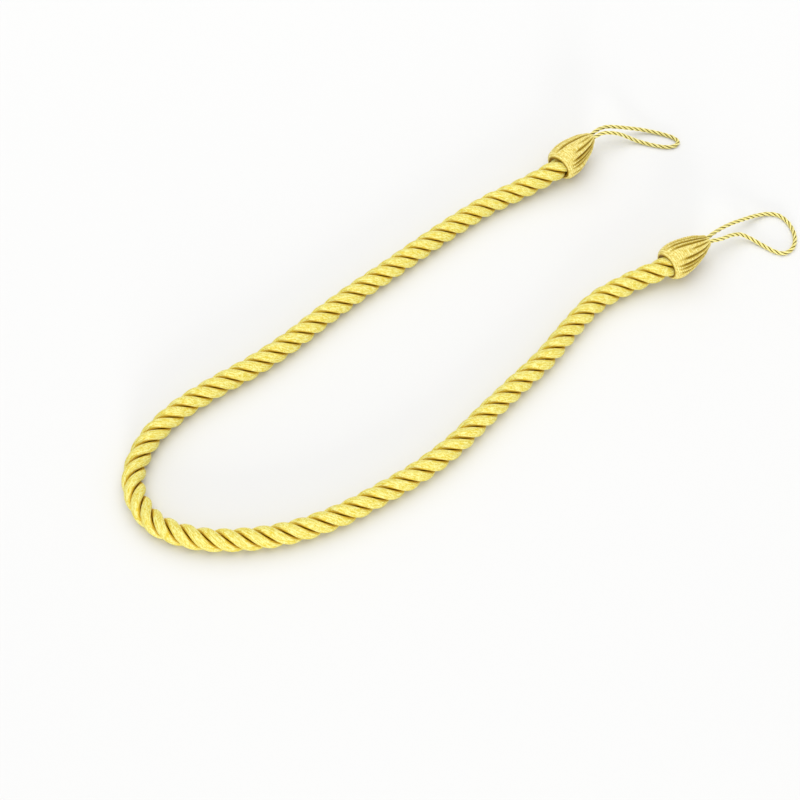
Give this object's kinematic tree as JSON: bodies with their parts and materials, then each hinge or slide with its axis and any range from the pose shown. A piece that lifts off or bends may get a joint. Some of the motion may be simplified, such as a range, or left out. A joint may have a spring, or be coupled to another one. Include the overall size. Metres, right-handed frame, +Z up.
{
  "type": "rope curtain tieback",
  "caption": "Gold laid-rope curtain tieback lying in a U, with a yarn-wound bud-shaped cap on each end and a thin cord loop at each tip that goes over a wall hook.",
  "frame": {"origin": "on the surface that the tieback lies on, under the middle of its whole box", "axes": "+X along the longest extent, from the rope's bend towards the loops; +Y from the near arm towards the far arm; +Z up from the surface"},
  "size_m": [0.3779, 0.2985, 0.0212],
  "materials": {
    "rope_yarn": "satin gold yarn, laid in three strands",
    "cap_yarn": "old gold yarn, wound in fine rows and gathered into folds",
    "loop_cord": "pale gold cord, thin three-ply lay"
  },
  "bodies": {
    "root": {"rope": "rope_yarn", "cap_far": "cap_yarn", "cap_near": "cap_yarn", "loop_far": "loop_cord", "loop_near": "loop_cord"}
  },
  "joints": []
}
